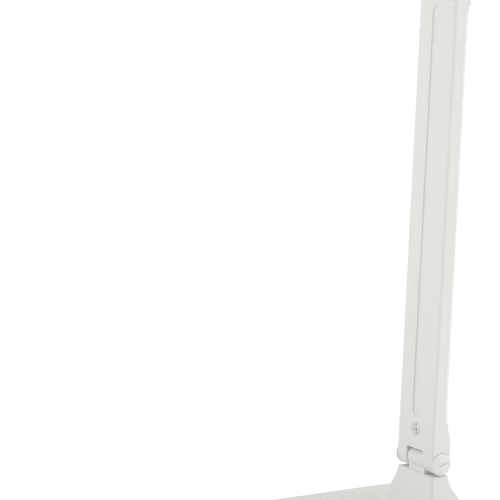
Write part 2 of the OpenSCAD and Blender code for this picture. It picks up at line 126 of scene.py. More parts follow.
def settle(piece):
    """Makes the modifiers' result the piece's own mesh, and takes the modifiers off."""
    result = bpy.data.meshes.new_from_object(piece.evaluated_get(bpy.context.evaluated_depsgraph_get()))
    piece.modifiers.clear()
    piece.data = result
    return piece


def carve(piece, tools, operation="DIFFERENCE"):
    """Cuts each tool from the piece, or joins it to the piece, and throws the tool away."""
    for tool in tools:
        step = piece.modifiers.new("carve", "BOOLEAN")
        step.solver, step.operation, step.object = "EXACT", operation, tool
        bpy.context.view_layer.update()
        settle(piece)
        bpy.data.objects.remove(tool)
    return piece


# %% [markdown]
# ## Outlines and the wide slab
# Most outlines are circles and rounded rectangles, so each has a small helper. The arm and the
# knuckles are side views pulled out to both sides. A bevel modifier would round all of a slab's
# edges alike, so here the outer rings are drawn in by each point's own edge radius.

# %% Outlines
def rounded_rect(w, d, r, z, x0=0.0, y0=0.0, steps=8):
    """A rounded rectangle at height z, anticlockwise from above."""
    r = max(min(r, w / 2 - 0.01, d / 2 - 0.01), 0.02)
    ring = []
    for corner in range(4):
        sx, sy = (1, 1, -1, -1)[corner], (-1, 1, 1, -1)[corner]
        for k in range(steps + 1):
            t = math.radians(90) * (corner - 1 + k / steps)
            ring.append((x0 + sx * (w / 2 - r) + r * math.cos(t), y0 + sy * (d / 2 - r) + r * math.sin(t), z))
    return ring


def circle(r, z, x0=0.0, y0=0.0, count=64):
    turns = (2 * math.pi * i / count for i in range(count))
    return [(x0 + r * math.cos(t), y0 + r * math.sin(t), z) for t in turns]


def rod(name, r, low, high, x0=0.0, y0=0.0, count=64):
    return loft(name, [circle(r, low, x0, y0, count), circle(r, high, x0, y0, count)])


def block(name, w, d, low, high, x0=0.0, y0=0.0):
    return loft(name, [rounded_rect(w, d, 0.02, z, x0, y0, 1) for z in (low, high)])


def turned(piece, axis, degrees, shift=(0, 0, 0)):
    """Turns a piece about an axis through its own origin, then moves it, all in its mesh."""
    piece.data.transform(Matrix.Translation(shift) @ Matrix.Rotation(math.radians(degrees), 4, axis))
    return piece


def arc(steps, start=0.0, end=90.0):
    """(cosine, sine) pairs round an arc, which is a quarter circle unless told otherwise."""
    turns = (math.radians(start + (end - start) * k / steps) for k in range(steps + 1))
    return [(math.cos(t), math.sin(t)) for t in turns]


def wide_slab(name, profile, half_width, steps=6):
    """Pulls a side view out to both sides. Each point (y, z, r) of it carries its own edge radius."""
    count = len(profile)
    shifts = []
    for i, (y, z, _) in enumerate(profile):
        before, after = profile[i - 1], profile[(i + 1) % count]
        a = Vector((y - before[0], z - before[1])).normalized()
        b = Vector((after[0] - y, after[1] - z)).normalized()
        inward = Vector((-a.y - b.y, a.x + b.x))
        inward.normalize()
        shifts.append(inward / max(inward.dot(Vector((-a.y, a.x))), 0.5))
    rings = []
    for side in (-1, 1):
        rim = arc(steps)
        for c, s in (reversed(rim) if side < 0 else rim):
            rings.append([(side * (half_width - r * (1 - s)), y + n.x * r * (1 - c), z + n.y * r * (1 - c))
                          for (y, z, r), n in zip(profile, shifts)])
    return loft(name, rings)


# %% [markdown]
# ## Finishes shared by many materials
# A moulded white plastic is never one flat colour. It has a fine satin grain from the steel mould,
# a very slight drift of tone over a hand's width, and a little dust where it faces up. Metals carry
# fine drawn lines. Each of these effects is a small node group, made once, so that many finishes
# can share it, each with its own values.

# %% Node helpers
def new_group(name, inputs, outputs):
    group = bpy.data.node_groups.new(name, "ShaderNodeTree")
    for label, default in inputs:
        kind = "NodeSocketColor" if isinstance(default, tuple) else "NodeSocketFloat"
        group.interface.new_socket(name=label, in_out="INPUT", socket_type=kind).default_value = default
    for label, kind in outputs:
        group.interface.new_socket(name=label, in_out="OUTPUT", socket_type=kind)
    return group, group.nodes.new("NodeGroupInput"), group.nodes.new("NodeGroupOutput")


def feed(tree, socket, value):
    """Gives a socket a plain value, or a link where the value is another node's output."""
    if isinstance(value, (tuple, int, float)):
        socket.default_value = value
    else:
        tree.links.new(value, socket)


def noise(tree, scale, detail=2.0, stretch=None):
    """Noise over the piece's own coordinates, which don't slide when the piece moves."""
    where = tree.nodes.new("ShaderNodeTexCoord").outputs["Object"]
    if stretch:
        mapping = tree.nodes.new("ShaderNodeMapping")
        mapping.inputs["Scale"].default_value = stretch
        tree.links.new(where, mapping.inputs["Vector"])
        where = mapping.outputs["Vector"]
    texture = tree.nodes.new("ShaderNodeTexNoise")
    texture.inputs["Detail"].default_value = detail
    tree.links.new(where, texture.inputs["Vector"])
    feed(tree, texture.inputs["Scale"], scale)
    return texture.outputs["Fac"]


def math_node(tree, operation, a, b):
    node = tree.nodes.new("ShaderNodeMath")
    node.operation = operation
    for socket, value in zip(node.inputs, (a, b)):
        feed(tree, socket, value)
    return node.outputs[0]


def tint(tree, factor, a, b):
    node = tree.nodes.new("ShaderNodeMix")
    node.data_type = "RGBA"
    for socket, value in ((node.inputs[0], factor), (node.inputs[6], a), (node.inputs[7], b)):
        feed(tree, socket, value)
    return node.outputs[2]


# %% Grain: the satin texture of a mould, and the slow drift of its tone
grain, g_in, g_out = new_group(
    "moulded_grain",
    [("Colour", (0.8, 0.8, 0.8, 1)), ("Shade", (0.7, 0.7, 0.7, 1)), ("Grain per metre", 2600.0),
     ("Roughness", 0.4), ("Roughness swing", 0.1)],
    [("Colour", "NodeSocketColor"), ("Roughness", "NodeSocketFloat"), ("Height", "NodeSocketFloat")])
fine = noise(grain, g_in.outputs["Grain per metre"], detail=3.0)
slow = noise(grain, scale=14.0, detail=1.0)
drift = math_node(grain, "MULTIPLY", math_node(grain, "ADD", fine, slow), 0.5)
grain.links.new(tint(grain, drift, g_in.outputs["Shade"], g_in.outputs["Colour"]), g_out.inputs["Colour"])
swing = math_node(grain, "MULTIPLY", math_node(grain, "SUBTRACT", drift, 0.5),
                  g_in.outputs["Roughness swing"])
grain.links.new(math_node(grain, "ADD", g_in.outputs["Roughness"], swing), g_out.inputs["Roughness"])
grain.links.new(fine, g_out.inputs["Height"])

# %% Dust: a faint grey film where a surface faces up
dust, d_in, d_out = new_group(
    "settled_dust",
    [("Colour", (0.8, 0.8, 0.8, 1)), ("Dust colour", (0.6, 0.59, 0.57, 1)), ("Amount", 0.05)],
    [("Colour", "NodeSocketColor")])
up_part = dust.nodes.new("ShaderNodeSeparateXYZ")
dust.links.new(dust.nodes.new("ShaderNodeNewGeometry").outputs["Normal"], up_part.inputs[0])
facing_up = math_node(dust, "MAXIMUM", up_part.outputs["Z"], 0.0)
patchy = math_node(dust, "MULTIPLY", facing_up, noise(dust, scale=220.0, detail=4.0))
cover = math_node(dust, "MULTIPLY", patchy, d_in.outputs["Amount"])
dust.links.new(tint(dust, cover, d_in.outputs["Colour"], d_in.outputs["Dust colour"]), d_out.inputs["Colour"])

# %% Drawn metal: fine lines that run one way
drawn, m_in, m_out = new_group(
    "drawn_metal",
    [("Colour", (0.6, 0.6, 0.6, 1)), ("Shade", (0.5, 0.5, 0.5, 1)), ("Lines per metre", 900.0),
     ("Roughness", 0.3), ("Roughness swing", 0.2)],
    [("Colour", "NodeSocketColor"), ("Roughness", "NodeSocketFloat"), ("Height", "NodeSocketFloat")])
lines = noise(drawn, m_in.outputs["Lines per metre"], stretch=(1.0, 0.06, 1.0))
drawn.links.new(tint(drawn, lines, m_in.outputs["Shade"], m_in.outputs["Colour"]), m_out.inputs["Colour"])
swing = math_node(drawn, "MULTIPLY", math_node(drawn, "SUBTRACT", lines, 0.5),
                  m_in.outputs["Roughness swing"])
drawn.links.new(math_node(drawn, "ADD", m_in.outputs["Roughness"], swing), m_out.inputs["Roughness"])
drawn.links.new(lines, m_out.inputs["Height"])
print("shared finishes:", grain.name, dust.name, drawn.name)

# %% [markdown]
# ## One material for each finish in the record
# The record lists fifteen finishes by name. They differ in colour, grain size, roughness and in
# whether they are metal, so a table of those values and one function make them all. The arm, base
# and caps are a warm white that lets light in by less than a millimetre, which softens its edges.
# The rear cover is moulded a little smoother and lighter.

# %% Make the materials
BUMP_STRENGTH = 0.6
SCATTER_DEPTH = 0.0007
SCATTER_BY_COLOUR = (1.0, 0.95, 0.85)


def shaded(colour, by):
    return tuple(c * by for c in colour) + (1.0,)


def finish_material(name, colour, roughness, metal=0.0, per_metre=2600.0, depth=0.00002,
                    shade=0.95, swing=0.1, dusty=0.05, coat=0.0, scatter=0.0):
    material = bpy.data.materials.new(name)
    material.use_nodes = True
    tree = material.node_tree
    shader = tree.nodes["Principled BSDF"]
    effect = tree.nodes.new("ShaderNodeGroup")
    effect.node_tree = drawn if metal else grain
    effect.inputs["Colour"].default_value = shaded(colour, 1.0)
    effect.inputs["Shade"].default_value = shaded(colour, shade)
    effect.inputs["Lines per metre" if metal else "Grain per metre"].default_value = per_metre
    effect.inputs["Roughness"].default_value = roughness
    effect.inputs["Roughness swing"].default_value = swing
    film = tree.nodes.new("ShaderNodeGroup")
    film.node_tree = dust
    film.inputs["Amount"].default_value = dusty
    bump = tree.nodes.new("ShaderNodeBump")
    bump.inputs["Distance"].default_value = depth
    bump.inputs["Strength"].default_value = BUMP_STRENGTH
    for output, socket in ((effect.outputs["Colour"], film.inputs["Colour"]),
                           (film.outputs["Colour"], shader.inputs["Base Color"]),
                           (effect.outputs["Roughness"], shader.inputs["Roughness"]),
                           (effect.outputs["Height"], bump.inputs["Height"]),
                           (bump.outputs["Normal"], shader.inputs["Normal"])):
        tree.links.new(output, socket)
    shader.inputs["Metallic"].default_value = metal
    shader.inputs["Coat Weight"].default_value = coat
    shader.inputs["Subsurface Weight"].default_value = scatter
    shader.inputs["Subsurface Radius"].default_value = SCATTER_BY_COLOUR
    shader.inputs["Subsurface Scale"].default_value = SCATTER_DEPTH
    return material


FINISH = {
    "white_plastic": finish_material("white_plastic", (0.80, 0.79, 0.765), 0.42, scatter=0.35),
    "white_cover": finish_material("white_cover", (0.83, 0.82, 0.80), 0.34, per_metre=3400.0, depth=0.00001,
                                   scatter=0.35),
    "white_caps": finish_material("white_caps", (0.81, 0.80, 0.77), 0.38, scatter=0.35),
    "white_keys": finish_material("white_keys", (0.82, 0.82, 0.80), 0.30, depth=0.00001),
    "frosted_diffuser": finish_material("frosted_diffuser", (0.92, 0.92, 0.90), 0.55, per_metre=5200.0,
                                        shade=0.98, dusty=0.02, scatter=0.3),
    "grey_rubber": finish_material("grey_rubber", (0.10, 0.10, 0.105), 0.85, per_metre=1400.0,
                                   depth=0.0001, shade=0.7, dusty=0.25),
    "plated_steel": finish_material("plated_steel", (0.78, 0.78, 0.77), 0.55, metal=1.0,
                                    per_metre=1600.0, depth=0.000008, shade=0.88),
    "bare_aluminium": finish_material("bare_aluminium", (0.80, 0.80, 0.81), 0.36, metal=1.0, shade=0.9),
    "bronze": finish_material("bronze", (0.70, 0.50, 0.26), 0.34, metal=1.0, per_metre=2000.0, shade=0.8),
    "green_board": finish_material("green_board", (0.03, 0.22, 0.09), 0.35, per_metre=700.0, shade=0.7),
    "white_board": finish_material("white_board", (0.88, 0.88, 0.86), 0.35, per_metre=900.0),
    "led_phosphor": finish_material("led_phosphor", (0.90, 0.78, 0.30), 0.20, per_metre=3000.0, shade=0.9,
                                    coat=0.8),
    "white_reflector": finish_material("white_reflector", (0.93, 0.93, 0.92), 0.16, depth=0.000004,
                                       shade=0.98),
    "black_plastic": finish_material("black_plastic", (0.02, 0.02, 0.02), 0.38, shade=0.6, dusty=0.02),
    "red_insulation": finish_material("red_insulation", (0.45, 0.03, 0.03), 0.48, per_metre=1200.0,
                                      shade=0.8),
}
print(len(FINISH), "finishes")

# %% [markdown]
# ## Putting a finished piece in its place
# Every piece ends the same way: its millimetres become metres in its place, its gentle bends are
# shaded smooth and its real corners are kept, it is hung on an empty for the body it moves with,
# it takes its finish, and the engineering nodes that it stands for are hidden.

# %% Hand a piece over
def hand_over(piece, name, place, body, finish, *nodes, smooth=32):
    piece.name = piece.data.name = name
    piece.data.transform(place)
    for face in piece.data.polygons:
        face.use_smooth = True
    piece.data.set_sharp_from_angle(angle=math.radians(smooth))
    even = piece.modifiers.new("even shading", "WEIGHTED_NORMAL")
    even.keep_sharp = True
    bpy.context.view_layer.update()
    settle(piece)
    piece.data.materials.clear()
    piece.data.materials.append(FINISH[finish])
    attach(piece, body)
    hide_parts(*nodes)
    print(f"{name}: {len(piece.data.polygons)} faces on {body}")
    return piece


# %% [markdown]
# ## The base and its pedestal
# On the real lamp the base's top and the pedestal are one moulding: a flat slab with a soft edge,
# out of which a foot rises on curved flanks. Joining a box and a separate foot would leave a hard
# line between them. One stack of outlines avoids it: it climbs the side, rolls over the top edge,
# runs flat to the pedestal's foot, sweeps up the flare and rolls over the seat.

# %% Base sizes, from the frame
base_low, base_high = (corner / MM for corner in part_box("base_shell"))
foot_low, foot_high = (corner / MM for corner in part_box("pedestal"))
BASE_W, BASE_D = base_high.x - base_low.x, base_high.y - base_low.y
RIM, TOP, SEAT = base_low.z, base_high.z, foot_high.z
AXIS_Y = LOWER.y / MM
ROOF, WALL, CORNER_R, TOP_EDGE = 2.5, 2.2, 14, 2.6
CEILING = TOP - ROOF
HALF_W = 20.0  # the arm, the head and the pedestal's seat are all twice this wide
FLARE_POWER, FRONT_FLARE = 1.59, 7
SIDE_FLARE = (foot_high.x - foot_low.x) / 2 - HALF_W
SEAT_FRONT, SEAT_REAR, SEAT_WALL, SEAT_EDGE = 5.6, 5.4, 3, 0.6
SEAT_CORNER, CORNER_GROWTH = 1.3, 2.6
print("base", round(BASE_W), "x", round(BASE_D), "mm, top at", round(TOP, 1), "mm;",
      "flare", round(SIDE_FLARE, 1), "mm")


def slab_ring(inset, z):
    """The base's outline, drawn in by the same inset on every side."""
    return rounded_rect(BASE_W - 2 * inset, BASE_D - 2 * inset, CORNER_R - inset, z)


def foot_ring(depth, extra=0.0, inset=0.0):
    """The pedestal's outline at a depth below its seat: straight in front, curved at its sides and rear."""
    share = depth / (SEAT - TOP)
    out = SIDE_FLARE * share ** FLARE_POWER + extra - inset
    front = AXIS_Y - SEAT_FRONT - FRONT_FLARE * share - extra + inset
    rear = AXIS_Y + SEAT_REAR + out
    corner = SEAT_CORNER + CORNER_GROWTH * share + extra
    return rounded_rect(2 * (HALF_W + out), rear - front, corner, SEAT - depth, y0=(front + rear) / 2)


# %% Stack the outlines and loft them
ROOT_RISE, ROOT_REACH, ROOT_TURN = 1.5, 3.1, 52
FLARE_STEPS = 15
flare_low = SEAT - TOP - ROOT_RISE
rings = [slab_ring(inset, RIM + rise) for inset, rise in ((1.2, 0), (0.3, 0.5), (0, 1.4))]
rings += [slab_ring(TOP_EDGE * (1 - c), TOP - TOP_EDGE * (1 - s)) for c, s in arc(8)]
for c, s in arc(6, 0, ROOT_TURN):
    # The small fillet where the flare runs out into the flat top
    reach = ROOT_REACH * (1 - s / math.sin(math.radians(ROOT_TURN)))
    rise = ROOT_RISE * (1 - c) / (1 - math.cos(math.radians(ROOT_TURN)))
    rings.append([(x, y, TOP + rise) for x, y, _ in foot_ring(flare_low, extra=reach)])
for k in range(FLARE_STEPS - 1, 0, -1):
    rings.append(foot_ring(flare_low * k / FLARE_STEPS + SEAT_EDGE * (1 - k / FLARE_STEPS)))
for c, s in arc(4):
    edge = foot_ring(SEAT_EDGE, inset=SEAT_EDGE * (1 - c))
    rings.append([(x, y, SEAT - SEAT_EDGE * (1 - s)) for x, y, _ in edge])
base_top = loft("base_top", rings)
print("base and pedestal:", len(rings), "outlines")


# %% Hollow it, and cut its openings
def middle(node, axis):
    """Where a node's middle is along one axis, in millimetres."""
    low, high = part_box(node)
    return (low[axis] + high[axis]) / 2 / MM


BUTTON_Y = middle("power_button", 1)
BUTTON_X = {name: middle(name, 0) for name in ("power_button", "brighter_button", "dimmer_button")}
SOCKET_Z = middle("dc_socket", 2)
SLOT, TENON, INLET_R, HOLE_R = (32, 6.4), (14, 6), 4.2, 6.4
tools = [loft("inside", [slab_ring(WALL, z) for z in (-1, CEILING)]),
         block("slot", *SLOT, CEILING - 1, SEAT - SEAT_WALL, y0=AXIS_Y),
         block("tenon", *TENON, SEAT - SEAT_WALL - 1, SEAT + 3, y0=AXIS_Y),
         turned(rod("inlet", INLET_R, -8, 8), "X", 90, (0, BASE_D / 2, SOCKET_Z))]
for x in BUTTON_X.values():
    tools.append(loft("hole", [circle(r, z, x, BUTTON_Y) for r, z in
                               ((HOLE_R, CEILING - 1), (HOLE_R, TOP - 0.5), (6.8, TOP), (7.6, TOP + 0.8))]))
carve(base_top, tools)
hand_over(base_top, "base_top", BASE, "base", "white_plastic", "base_shell", "pedestal")

# %% [markdown]
# ## The three buttons
# A button is a turned shape: a flange that stops it falling out, a straight wall that slides in its
# hole, and a slightly crowned top with a soft rim. A finger finds it by a shallow mark: a dot on the
# middle one, and a plus and a minus on the other two.

# %% Turn the buttons
KEY_LOW, KEY_TOP = (corner.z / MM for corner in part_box("power_button"))
KEY_R, FLANGE_R, CROWN_R, CROWN_RISE = 6.0, 7.4, 5.2, 0.35
DOT_R, BAR_LENGTH, BAR_WIDTH, MARK_DEPTH = 0.8, 3.6, 0.7, 0.45


def mark(kind, x):
    """The tools that sink one button's mark into its top."""
    floor_and_top = (KEY_TOP - MARK_DEPTH, KEY_TOP + 1)
    if kind == "power_button":
        return [rod("dot", DOT_R, *floor_and_top, x, BUTTON_Y, 32)]
    bars = [block("bar", BAR_LENGTH, BAR_WIDTH, *floor_and_top, x, BUTTON_Y)]
    if kind == "brighter_button":
        bars.append(block("upright", BAR_WIDTH, BAR_LENGTH, *floor_and_top, x, BUTTON_Y))
    return bars


for name, x in BUTTON_X.items():
    crown = [(CROWN_R * c, KEY_TOP - CROWN_RISE + CROWN_RISE * s) for c, s in arc(6)[:-1]]
    profile = [(FLANGE_R, KEY_LOW), (FLANGE_R, KEY_LOW + 1), (KEY_R, KEY_LOW + 1), (KEY_R, KEY_TOP - 0.95),
               (5.85, KEY_TOP - 0.6), (5.55, KEY_TOP - 0.42)] + crown
    key = loft(name, [circle(r, z, x, BUTTON_Y) for r, z in profile])
    carve(key, mark(name, x))
    hand_over(key, name + "_cap", BASE, name, "white_keys", name)

# %% [markdown]
# ## The arm's side view
# The arm is deep at both ends, where the hinge bolts pass, and slim between. Its side view has a
# round cheek, a straight rear, a soft S that steps in to the slim part, and the same again upside
# down. The front housing and the rear cover share that outline, and meet along a seam. Every point
# carries its own edge radius, because the cover's long edges are far rounder than the housing's and
# the seam's edges are almost sharp.

# %% Draw the arm's outlines
FRONT, REAR, CHEEK, SEAM = -6.5, 3.5, 6.5, 0.4
SWELL_START, SWELL_END, SWELL_STEPS = 13.0, 26.0, 8
SEAM_END = SWELL_END + 0.5
SPLIT = 0.722  # how far along the S the housing ends and the cover starts
CHEEK_EDGE, SWELL_EDGE, SPLIT_EDGE, SEAM_EDGE, COVER_EDGE = 1.5, 1.4, 0.5, 0.12, 2.8


def swell(share):
    """Where the rear face is, on its S from the cheek's depth to the slim part."""
    ease = (1 - math.cos(math.pi * share)) / 2
    return CHEEK + (REAR - CHEEK) * ease, SWELL_START + (SWELL_END - SWELL_START) * share


def both_ends(near):
    """Adds the mirror image at the arm's far end to a run of points along one end."""
    return near + [(y, ARM_LENGTH - z, r) for y, z, r in reversed(near)]


near_end = [(-CHEEK * c, -CHEEK * s, CHEEK_EDGE) for c, s in arc(30, 0, 180)] + [(CHEEK, 6.0, SWELL_EDGE)]
near_end += [(*swell(SPLIT * k / SWELL_STEPS), SWELL_EDGE + 0.5 * k / SWELL_STEPS)
             for k in range(SWELL_STEPS)]
near_end += [(*swell(SPLIT), SPLIT_EDGE), (SEAM, SEAM_END, SEAM_EDGE)]
housing_outline = both_ends(near_end)


def cover_point(y, z):
    """A point of the cover's rear, with as large an edge radius as the wedge is thick there."""
    thick = y - SEAM - max(SEAM_END - z, 0) * (CHEEK + 1 - SEAM) / 8
    return y, z, min(max(0.6 * thick, 0.05), 1.8)


cover_end = [(SEAM, SEAM_END, SEAM_EDGE)]
cover_end += [cover_point(*swell(SPLIT + (1 - SPLIT) * k / SWELL_STEPS)) for k in range(SWELL_STEPS + 1)]
cover_outline = both_ends(cover_end + [(REAR, SWELL_END + 10, COVER_EDGE)])
print("outline points:", len(housing_outline), "and", len(cover_outline))

# %% [markdown]
# ## The front housing
# The housing is the arm's outline pulled to its full width, less what is cut from it: the notch that
# makes each end a fork, pockets for the hinge hardware, the hollow for the spine and the lead, a long
# shallow channel down the front, and a round recess for each front screw. A pocket and the shallow
# seat round its cap are one stepped tool: as two tools that cross, they left open edges where their
# walls met. Cutting whole, simple shapes keeps each cut's walls clean, where modelling the holes by
# hand would take far longer.

# %% Tools that cut the arm
ENDS = ((0.0, 1), (ARM_LENGTH, -1))
RECESS_Z, CHANNEL_END, CHANNEL_W = 18.0, 26.0, 10.4
NOTCH_W, NOTCH_TOP, HOLLOW_END = 18.4, 6.5, 30
POCKET_R, POCKET_FLOOR, BOLT_HOLE_R = 4.7, 13, 2.05
CAP_R, CAP_SEAT_R, CAP_SEAT_X = 6.7, 7.05, 19.65
PILOT_R, CLEAR_R = 1.1, 1.3


def arm_hollow():
    return block("hollow", 35.6, 6.0, HOLLOW_END, ARM_LENGTH - HOLLOW_END, y0=-1.3)


def tab(z0, side, reach):
    """The cover's tongue under one end, from 12 mm above the hinge up to a reach."""
    return block("tab", 13.6, 2.6, *sorted((z0 + side * 12, z0 + side * reach)), y0=1.7)


def end_tools(z0, side):
    """The cuts at one end: z0 is its hinge, and side is 1 or -1 for the way to the arm's middle."""
    cuts = [block("notch", NOTCH_W, 26, *sorted((z0 - side * 14, z0 + side * NOTCH_TOP))),
            tab(z0, side, 30.5)]
    step = CAP_SEAT_X - POCKET_FLOOR
    for x in (-1, 1):
        steps = [circle(r, z) for r, z in ((POCKET_R, 0), (POCKET_R, step), (CAP_SEAT_R, step),
                                           (CAP_SEAT_R, step + 3))]
        cuts.append(turned(loft("pocket", steps), "Y", 90 * x, (POCKET_FLOOR * x, 0, z0)))
    cuts.append(turned(rod("bore", BOLT_HOLE_R, -30, 30), "Y", 90, (0, 0, z0)))
    # The recess: a well that fits the screw's head, a sloping step and a flared rim
    seat = [circle(r, z) for r, z in ((0.9, 0), (3.2, 0), (3.3, 1.15), (4.3, 1.3), (4.7, 1.75), (5.0, 2.0),
                                      (6.0, 3.0))]
    for tool in (loft("recess", seat), rod("screw_hole", CLEAR_R, -6, 3)):
        cuts.append(turned(tool, "X", 90, (0, FRONT + 2, z0 + side * RECESS_Z)))
    return cuts


# %% Make and cut the housing
front = wide_slab("arm_front", housing_outline, HALF_W)
channel_length = ARM_LENGTH - 2 * CHANNEL_END
channel = loft("channel", [rounded_rect(w, channel_length + w - CHANNEL_W, w / 2 - 0.2, z, steps=10)
                           for w, z in ((9.9, 0), (10.25, 0.12), (CHANNEL_W, 0.7), (10.7, 1.4))])
turned(channel, "X", 90, (0, FRONT + 0.7, ARM_LENGTH / 2))
carve(front, [arm_hollow(), channel] + [tool for end in ENDS for tool in end_tools(*end)])
hand_over(front, "arm_front", ARM, "arm", "white_plastic", "arm_front_housing")

# %% [markdown]
# ## The rear cover
# The cover is a shallow tray that clips over the back. Its long rear edges are well rounded, which
# is why it catches the light as a bright strip. Under each end a tab reaches in below the housing,
# where the front screw pulls on it, and two ribs press the steel spine against the housing.

# %% Make the cover
rear = wide_slab("arm_rear", cover_outline, HALF_W, steps=9)
carve(rear, [arm_hollow()])
ribs = [block("rib", 1.2, 4.2, 40, ARM_LENGTH - 40, x0=x, y0=-0.2) for x in (-9.6, 9.6)]
carve(rear, [tab(*end, 31) for end in ENDS] + ribs, "UNION")
carve(rear, [turned(rod("thread", PILOT_R, -2.4, 2.4), "X", 90, (0, 0, z0 + side * RECESS_Z))
             for z0, side in ENDS])
hand_over(rear, "arm_rear", ARM, "arm", "white_cover", "arm_rear_cover")

# %% [markdown]
# ## Knuckles and hinge caps
# Each hinge is a knuckle between two cheeks. The knuckle is a round barrel on a short stem, bored
# for its bushes. Round caps hide the bolt and the nut: turned discs with a low crown and a ring that
# presses into the pocket. Each stands in its shallow seat, whose thin gap draws a line round it. The
# caps on one side have a coin slot.

# %% Make the knuckles
BARREL_R, STEM_HALF, KNUCKLE_HALF, BUSH_R = 6.2, 5.0, 8.7, 3.2


def knuckle():
    """One knuckle, standing on its tenon: the barrel's wall ends where the stem's flat sides start."""
    start = math.degrees(math.acos(STEM_HALF / BARREL_R))
    barrel = [(BARREL_R * c, BARREL_R * s, 0.5) for c, s in arc(48, 180 - start, 360 + start)]
    outline = barrel + [(STEM_HALF, 7.6, 0.3), (-STEM_HALF, 7.6, 0.3)]
    piece = wide_slab("knuckle", outline, KNUCKLE_HALF, steps=4)
    carve(piece, [block("tenon", 13.96, 5.96, 6.5, 10.6)], "UNION")
    holes = [turned(rod("bushes", BUSH_R, -20, 20), "Y", 90)]
    return carve(piece, holes + [rod("thread", CLEAR_R, 4.4, 14, x, 0, 32) for x in (-5, 5)])


hand_over(knuckle(), "lower_knuckle", LOWER_KNUCKLE, "base", "white_plastic", "lower_hinge_block")
hand_over(knuckle(), "upper_knuckle", HEAD, "head", "white_plastic", "upper_hinge_block")

# %% Make the caps
CAP_RIM, CAP_RISE, CAP_TOP = HALF_W + 0.1, 1.0, HALF_W + 1.1
COIN_SLOT, COIN_TILT, COIN_DEPTH = (2.4, 5.8, -0.5, 0.5), 17, 0.6
CENTRE_R = 0.02  # closes a turned piece at its middle


def cap(side, slotted):
    """A cap, drawn lying flat round the hinge axis, then stood on its side of the arm."""
    crown = [(CAP_R * c, CAP_RIM + CAP_RISE * s) for c, s in arc(15)[:-1]]
    profile = [(CENTRE_R, 20.3), (3.8, 20.3), (3.8, 18.0), (4.6, 18.0), (4.6, CAP_SEAT_X),
               (CAP_R, CAP_SEAT_X), *crown, (CENTRE_R, CAP_RIM + CAP_RISE)]
    piece = turned(loft("cap", [circle(r, z) for r, z in profile]), "Y", 90 * side)
    if slotted:
        # The slot's block is 2.4 mm tall, so its floor lies 0.6 mm below the crown's top
        carve(piece, [turned(block("coin_slot", *COIN_SLOT), "X", COIN_TILT, (CAP_TOP + COIN_DEPTH, 0, 0))])
    return piece


for end, (z0, _) in zip(("lower", "upper"), ENDS):
    for side, kind in ((1, "slotted"), (-1, "plain")):
        piece = cap(side, kind == "slotted")
        piece.data.transform(Matrix.Translation((0, 0, z0)))
        hand_over(piece, f"{end}_{kind}_disc", ARM, "arm", "white_caps", f"{end}_{kind}_cap")

# %% [markdown]
# ## The head
# The head is a long shallow tray with wide round corners at its tip. A bezel closes it from below
# and frames a frosted sheet that spreads the light. Its upper edges are softly rounded, and its
# lower rim only just broken, so that the bezel sits crisply inside it.

# %% Head sizes, and its outline
HEAD_LOW, HEAD_HIGH, TIP, TAIL = 7.6, 19.6, -275.0, 8.0
WINDOW_START, WINDOW_END, WINDOW_W = -262.0, -42.0, 32
BEZEL_SCREWS = ((13, -22), (-13, -22), (12, -268.5), (-12, -268.5))
SINK_SCREWS = ((9, -44.5), (-9, -44.5), (9, -260.2), (-9, -260.2))
TIP_R, TAIL_R, HEAD_EDGE, HEAD_WALL = 9, 4, 2.2, 1.8


def head_ring(inset, z, steps=10):
    """The head seen from above: wide corners at its tip, small ones at its tail."""
    ring = []
    for sx, y, r, start in ((1, TIP, TIP_R, -90), (1, TAIL, TAIL_R, 0),
                            (-1, TAIL, TAIL_R, 90), (-1, TIP, TIP_R, 180)):
        towards = 1 if y == TIP else -1
        for c, s in arc(steps, start, start + 90):
            ring.append((sx * (HALF_W - r) + (r - inset) * c, y + towards * r + (r - inset) * s, z))
    return ring


# %% Make the head's housing
stack = [head_ring(0.35, HEAD_LOW), head_ring(0.0, HEAD_LOW + 0.35)]
stack += [head_ring(HEAD_EDGE * (1 - c), HEAD_HIGH - HEAD_EDGE * (1 - s)) for c, s in arc(8)]
shell = loft("head_shell", stack)
carve(shell, [loft("cavity", [head_ring(HEAD_WALL, z) for z in (5, HEAD_HIGH - 2)])])
posts = [rod("post", 2.6, HEAD_LOW + 1.7, HEAD_HIGH - 1, x, y, 32) for x, y in BEZEL_SCREWS]
posts += [rod("post", 3.0, 15.9, HEAD_HIGH - 1, x, y, 32) for x, y in SINK_SCREWS]
carve(shell, posts, "UNION")
carve(shell, [rod("pilot", PILOT_R, 5, 14.6, x, y, 32) for x, y in BEZEL_SCREWS])
carve(shell, [rod("pilot", PILOT_R, 14, 17.4, x, y, 32) for x, y in SINK_SCREWS])
hand_over(shell, "head_shell", HEAD, "head", "white_plastic", "head_housing")

# %% Make the bezel and the frosted sheet
def window_stack(name, steps):
    """A stack of window outlines, each as much longer than the window as it is wider."""
    length, mid = WINDOW_END - WINDOW_START, (WINDOW_START + WINDOW_END) / 2
    return loft(name, [rounded_rect(w, length + w - WINDOW_W, 0.6, z, y0=mid) for w, z in steps])


